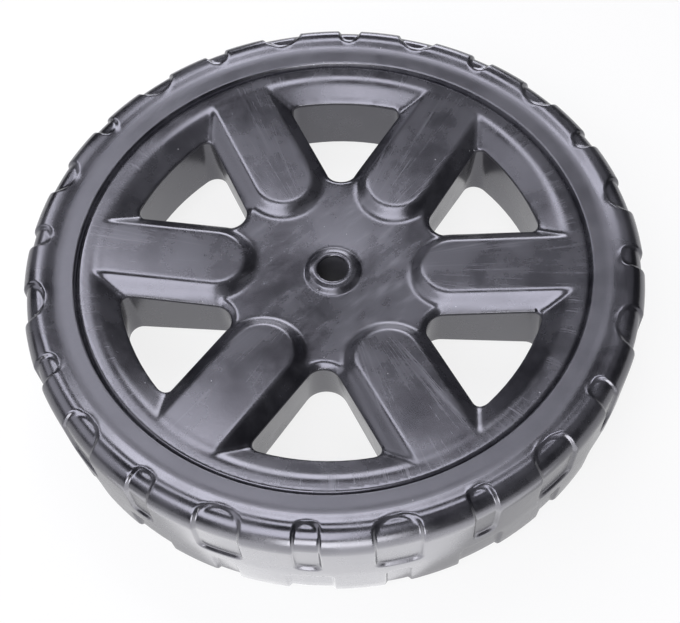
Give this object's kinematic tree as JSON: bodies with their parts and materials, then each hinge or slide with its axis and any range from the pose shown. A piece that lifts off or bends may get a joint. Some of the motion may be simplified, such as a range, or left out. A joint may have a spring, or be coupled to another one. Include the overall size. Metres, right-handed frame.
{
  "type": "lawn mower wheel",
  "caption": "One-piece moulded plastic mower wheel with rounded tyre, tread pockets, raised spokes, open windows and a plain axle bore.",
  "frame": {"origin": "on the axle's line, halfway across the tread", "axes": "+Z along the axle towards the wheel's outer face, +X along the middle of a spoke"},
  "size_m": [0.203, 0.203, 0.0444],
  "materials": {
    "wheel_plastic": "satin dark grey moulded polyethylene with fine scuffs"
  },
  "bodies": {
    "root": {"wheel": "wheel_plastic"}
  },
  "joints": []
}
